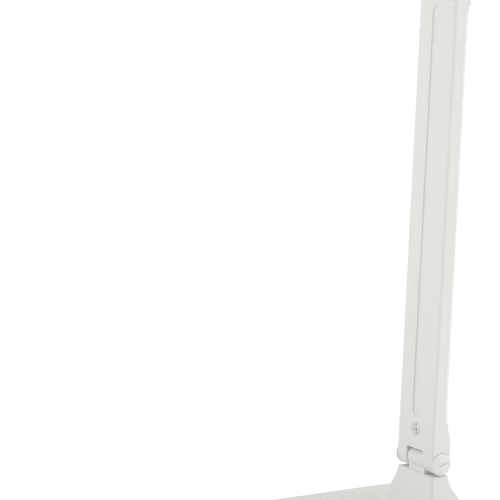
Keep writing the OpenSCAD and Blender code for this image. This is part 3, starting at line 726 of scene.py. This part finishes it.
bezel = loft("bezel", [head_ring(2.1, HEAD_LOW), head_ring(1.85, HEAD_LOW + 0.25), head_ring(1.85, 9.2)])
carve(bezel, [block("seat", 30, 12, 8.5, 10.6)], "UNION")
window = window_stack("window", ((33.2, 7.0), (32.6, HEAD_LOW), (WINDOW_W, HEAD_LOW + 0.3), (WINDOW_W, 12)))
bores = [rod("sink", 2.4, 5, HEAD_LOW + 0.9, x, y, 40) for x, y in BEZEL_SCREWS]
bores += [rod("bore", CLEAR_R, 5, 14, x, y, 32) for x, y in BEZEL_SCREWS]
carve(bezel, [window, block("tenon", *TENON, 5, 14)] + bores)
hand_over(bezel, "bezel", HEAD, "head", "white_plastic", "head_bezel")
sheet = window_stack("frosted_sheet", ((31.2, 7.75), (31.7, 7.9), (31.9, 8.2), (31.9, 9.2), (34.9, 9.2),
                                       (34.9, 10.0)))
hand_over(sheet, "frosted_sheet", HEAD, "head", "frosted_diffuser", "diffuser")

# %% [markdown]
# ## Screws, as a rule
# The lamp holds twenty screws of a few sizes, all with a domed head and a cross recess. A screw is
# one rule with four sizes in it, so Geometry Nodes make it: a cylinder whose wall is drawn in to a
# dome, a cross cut out of it, and a plain shank. The rule is then set down on each screw's spot.

# %% Build the screw tree
DOME_POWER, DOME_DRAW = 4.0, 0.42  # how late and how far the head's wall is drawn in
CROSS_LENGTH, CROSS_WIDTH, CROSS_HEIGHT = 1.24, 0.24, 1.1  # as shares of the head's radius and height


def screw_tree():
    tree = bpy.data.node_groups.new("cross_head_screw", "GeometryNodeTree")
    face, put = tree.interface, tree.nodes.new
    face.new_socket(name="Spots", in_out="INPUT", socket_type="NodeSocketGeometry")
    for label, value in (("Head radius", 3.0), ("Head height", 1.5),
                         ("Shank radius", 1.1), ("Shank length", 6.8)):
        face.new_socket(name=label, in_out="INPUT", socket_type="NodeSocketFloat").default_value = value
    face.new_socket(name="Turn", in_out="INPUT", socket_type="NodeSocketRotation")
    face.new_socket(name="Metal", in_out="INPUT", socket_type="NodeSocketMaterial")
    face.new_socket(name="Screws", in_out="OUTPUT", socket_type="NodeSocketGeometry")
    given, out = put("NodeGroupInput"), put("NodeGroupOutput")
    link = tree.links.new

    def number(operation, a, b):
        return math_node(tree, operation, a, b)

    def vector(x, y, z):
        node = put("ShaderNodeCombineXYZ")
        for socket, value in zip(node.inputs, (x, y, z)):
            feed(tree, socket, value)
        return node.outputs[0]

    head_r, head_h = given.outputs["Head radius"], given.outputs["Head height"]
    # A unit cylinder, drawn in towards its outer end
    blank = put("GeometryNodeMeshCylinder")
    for label, value in (("Vertices", 40), ("Side Segments", 10), ("Radius", 1.0), ("Depth", 1.0)):
        blank.inputs[label].default_value = value
    where = put("ShaderNodeSeparateXYZ")
    link(put("GeometryNodeInputPosition").outputs[0], where.inputs[0])
    outward = number("SUBTRACT", 0.5, where.outputs["Z"])
    shrink = number("SUBTRACT", 1.0, number("MULTIPLY", number("POWER", outward, DOME_POWER), DOME_DRAW))
    wide = number("MULTIPLY", head_r, shrink)
    shape = put("GeometryNodeSetPosition")
    link(blank.outputs["Mesh"], shape.inputs["Geometry"])
    link(vector(number("MULTIPLY", where.outputs["X"], wide), number("MULTIPLY", where.outputs["Y"], wide),
                number("MULTIPLY", number("MULTIPLY", outward, head_h), -1.0)), shape.inputs["Position"])
    # The cross: two bars through the dome
    cross = put("GeometryNodeMeshBoolean")
    cross.operation, cross.solver = "DIFFERENCE", "EXACT"
    link(shape.outputs[0], cross.inputs["Mesh 1"])
    for long_x in (True, False):
        bar = put("GeometryNodeMeshCube")
        length, width = number("MULTIPLY", head_r, CROSS_LENGTH), number("MULTIPLY", head_r, CROSS_WIDTH)
        sides = (length, width) if long_x else (width, length)
        link(vector(*sides, number("MULTIPLY", head_h, CROSS_HEIGHT)), bar.inputs["Size"])
        shifted = put("GeometryNodeTransform")
        link(bar.outputs["Mesh"], shifted.inputs["Geometry"])
        link(vector(0.0, 0.0, number("MULTIPLY", head_h, -1.0)), shifted.inputs["Translation"])
        link(shifted.outputs[0], cross.inputs["Mesh 2"])
    shank = put("GeometryNodeMeshCylinder")
    shank.inputs["Vertices"].default_value = 24
    link(given.outputs["Shank radius"], shank.inputs["Radius"])
    link(given.outputs["Shank length"], shank.inputs["Depth"])
    raised = put("GeometryNodeTransform")
    link(shank.outputs["Mesh"], raised.inputs["Geometry"])
    half_shank = number("MULTIPLY", given.outputs["Shank length"], 0.5)
    link(vector(0.0, 0.0, half_shank), raised.inputs["Translation"])
    joined = put("GeometryNodeJoinGeometry")
    link(cross.outputs["Mesh"], joined.inputs[0])
    link(raised.outputs[0], joined.inputs[0])
    spots, place_each = put("GeometryNodeMeshToPoints"), put("GeometryNodeInstanceOnPoints")
    link(given.outputs["Spots"], spots.inputs["Mesh"])
    link(spots.outputs[0], place_each.inputs["Points"])
    link(joined.outputs[0], place_each.inputs["Instance"])
    link(given.outputs["Turn"], place_each.inputs["Rotation"])
    real, metal = put("GeometryNodeRealizeInstances"), put("GeometryNodeSetMaterial")
    link(place_each.outputs[0], real.inputs[0])
    link(real.outputs[0], metal.inputs["Geometry"])
    link(given.outputs["Metal"], metal.inputs["Material"])
    link(metal.outputs[0], out.inputs[0])
    return tree


# %% Grow a tree on bare points
def grow(name, tree, spots, values):
    """Runs a node tree on a mesh of bare points and keeps its result as a plain mesh."""
    mesh = bpy.data.meshes.new(name)
    mesh.from_pydata([tuple(p) for p in spots], [], [])
    made = bpy.data.objects.new(name, mesh)
    bpy.context.scene.collection.objects.link(made)
    step = made.modifiers.new(name, "NODES")
    step.node_group = tree
    key = {item.name: item.identifier for item in tree.interface.items_tree if item.in_out == "INPUT"}
    for label, value in values.items():
        step[key[label]] = value
    bpy.context.view_layer.update()
    settle(made)
    work = bmesh.new()
    work.from_mesh(made.data)
    bmesh.ops.recalc_face_normals(work, faces=work.faces)
    work.to_mesh(made.data)
    work.free()
    return made


# %% Set the screws down
SCREW = screw_tree()
print("the screw tree has", len(SCREW.nodes), "nodes")
FORWARD = (math.radians(-90), 0.0, 0.0)
TURNED_OVER = (math.radians(180), 0.0, 0.0)
UPRIGHT = (0.0, 0.0, 0.0)
bracket_spots = [(x, 0, 12.6) for x in (-5, 5)]
arm_spots = [(0, FRONT + 2, z0 + side * RECESS_Z) for z0, side in ENDS]
base_spots = [(x, y, 2.1) for x in (-50, 50) for y in (-88, 88)]
board_spots = [(x, BUTTON_Y, 8.0) for x in (-38, 38)]
bezel_spots = [(*spot, 8.5) for spot in BEZEL_SCREWS]
sink_spots = [(*spot, 14.2) for spot in SINK_SCREWS]
# Each set: node, body, place, spots, then head radius and height, shank radius and length, and turn
screw_sets = [
    ("arm_screws", "arm", ARM, arm_spots, 3.0, 1.5, PILOT_R, 6.8, FORWARD),
    ("base_screws", "base", BASE, base_spots, 3.0, 1.3, CLEAR_R, 9.0, UPRIGHT),
    ("board_screws", "base", BASE, board_spots, 2.2, 1.4, PILOT_R, 5.6, UPRIGHT),
    ("lower_bracket_screws", "base", LOWER_KNUCKLE, bracket_spots, 2.6, 2.0, CLEAR_R, 8.2, TURNED_OVER),
    ("upper_bracket_screws", "head", HEAD, bracket_spots, 2.6, 2.0, CLEAR_R, 8.2, TURNED_OVER),
    ("bezel_screws", "head", HEAD, bezel_spots, 2.2, 0.8, PILOT_R, 6.0, UPRIGHT),
    ("heat_sink_screws", "head", HEAD, sink_spots, 2.2, 1.4, PILOT_R, 3.0, UPRIGHT),
]
for node, body, place, spots, head_r, head_h, shank_r, shank_l, turn in screw_sets:
    sizes = {"Head radius": head_r, "Head height": head_h, "Shank radius": shank_r, "Shank length": shank_l,
             "Turn": turn, "Metal": FINISH["plated_steel"]}
    hand_over(grow(node + "_set", SCREW, spots, sizes), node + "_set", place, body, "plated_steel", node)

# %% [markdown]
# ## The finishes of the hidden pieces
# What is left is engineering: the ballast, boards, leads, bolts, bushes and washers. Their shapes
# are right already, so each only takes the finish that the record gives it.

# %% Dress the engineering pieces
dressed = 0
for part in frame["record"]["subparts"]:
    node = frame["nodes"][part["node"]]
    if node.hide_render:
        continue
    if not node.material_slots:
        node.data.materials.append(None)
    for material_slot in node.material_slots:
        material_slot.material = FINISH[part["material_slot"]]
    dressed += 1
print(dressed, "engineering pieces keep their shape")

# %% [markdown]
# ## Floor, light and camera
# The lamp stands on a pale floor in a white room, as in a catalogue. The floor glows faintly, so
# that it stays white far from the lamp and still darkens under it. It can be looked through from
# below, so that the underside can be inspected. The room's own glow is uneven, like a studio with
# soft boxes: a wide patch on the camera's left, a tighter and stronger one on its right, a faint one
# behind the lamp and one overhead. The dimmer stretch between the two side patches is what draws a
# thin dark line down the arm's front corner. The camera has a very long lens, which is what keeps
# upright edges parallel.

# %% Floor
def stage_floor():
    """A square sheet just under the lamp's pad, seen from above only."""
    half, drop, faint_glow = 20.0, 0.0002, 0.24
    corners = [(x * half, y * half, -drop) for x, y in ((-1, -1), (1, -1), (1, 1), (-1, 1))]
    mesh = bpy.data.meshes.new("floor")
    mesh.from_pydata(corners, [], [(0, 1, 2, 3)])
    floor = bpy.data.objects.new("floor", mesh)
    bpy.context.scene.collection.objects.link(floor)
    material = bpy.data.materials.new("pale_floor")
    material.use_nodes = True
    tree = material.node_tree
    shader = tree.nodes["Principled BSDF"]
    shader.inputs["Base Color"].default_value = (0.92, 0.92, 0.92, 1)
    shader.inputs["Roughness"].default_value = 0.9
    shader.inputs["Specular IOR Level"].default_value = 0.0
    shader.inputs["Emission Color"].default_value = (1, 1, 1, 1)
    shader.inputs["Emission Strength"].default_value = faint_glow
    clear, mix = tree.nodes.new("ShaderNodeBsdfTransparent"), tree.nodes.new("ShaderNodeMixShader")
    tree.links.new(tree.nodes.new("ShaderNodeNewGeometry").outputs["Backfacing"], mix.inputs[0])
    tree.links.new(shader.outputs[0], mix.inputs[1])
    tree.links.new(clear.outputs[0], mix.inputs[2])
    tree.links.new(mix.outputs[0], tree.nodes["Material Output"].inputs["Surface"])
    mesh.materials.append(material)
    print("floor:", 2 * half, "m square, glowing at", faint_glow)


stage_floor()

# %% Light
ROOM = 0.40
# Each patch: where it is, how tight it is, and how strong
SOFT_PATCHES = (((-0.72, -0.62, 0.45), 4.0, 1.06), ((0.72, 0.69, 0.25), 6.0, 1.55),
                ((-0.85, 0.49, 0.15), 2.0, 0.10), ((0.0, 0.0, 1.0), 2.0, 0.42))
MIDTONE_LIFT = 1.12
WHITE = (1, 1, 1, 1)
scene = bpy.context.scene
world = bpy.data.worlds.new("white_room")
scene.world = world
world.use_nodes = True
room = world.node_tree
glow = room.nodes["Background"]
glow.inputs["Color"].default_value = WHITE
look = room.nodes.new("ShaderNodeTexCoord").outputs["Generated"]


def patch(direction, tightness):
    """How nearly a direction of the room is this one, as a soft patch of light."""
    near = room.nodes.new("ShaderNodeVectorMath")
    near.operation = "DOT_PRODUCT"
    room.links.new(look, near.inputs[0])
    near.inputs[1].default_value = Vector(direction).normalized()
    return math_node(room, "POWER", math_node(room, "MAXIMUM", near.outputs["Value"], 0.0), tightness)


level = ROOM
for direction, tightness, strength in SOFT_PATCHES:
    level = math_node(room, "ADD", level, math_node(room, "MULTIPLY", patch(direction, tightness), strength))
room.links.new(level, glow.inputs["Strength"])
seen = room.nodes.new("ShaderNodeBackground")
seen.inputs["Color"].default_value = WHITE
choose = room.nodes.new("ShaderNodeMixShader")
room.links.new(room.nodes.new("ShaderNodeLightPath").outputs["Is Camera Ray"], choose.inputs[0])
room.links.new(glow.outputs[0], choose.inputs[1])
room.links.new(seen.outputs[0], choose.inputs[2])
room.links.new(choose.outputs[0], room.nodes["World Output"].inputs["Surface"])
scene.view_settings.view_transform = "Standard"
scene.view_settings.gamma = MIDTONE_LIFT
print("room:", ROOM, "all round, and", len(SOFT_PATCHES), "soft patches")

# %% Camera
AZIMUTH, ELEVATION, DISTANCE = math.radians(60), math.radians(11.3), 3.0
HINGE_RIGHT, HINGE_BELOW = 0.1041, 0.1247  # the lower hinge, to the right of and below the aim
away = Vector((math.sin(AZIMUTH) * math.cos(ELEVATION), -math.cos(AZIMUTH) * math.cos(ELEVATION),
               math.sin(ELEVATION)))
right = Vector((math.cos(AZIMUTH), math.sin(AZIMUTH), 0))
centre = LOWER - right * HINGE_RIGHT + away.cross(right) * HINGE_BELOW
camera = bpy.data.objects.new("camera", bpy.data.cameras.new("camera"))
scene.collection.objects.link(camera)
camera.data.sensor_width, camera.data.lens = 36, 120 * DISTANCE
camera.location = centre + away * DISTANCE
camera.rotation_euler = (-away).to_track_quat("-Z", "Y").to_euler()
scene.camera = camera
print("camera at", [round(c, 3) for c in camera.location], "looking at", [round(c, 3) for c in centre])

# %% [markdown]
# ## The lamp's size
# The finished lamp has to stay inside the engineering model's box.
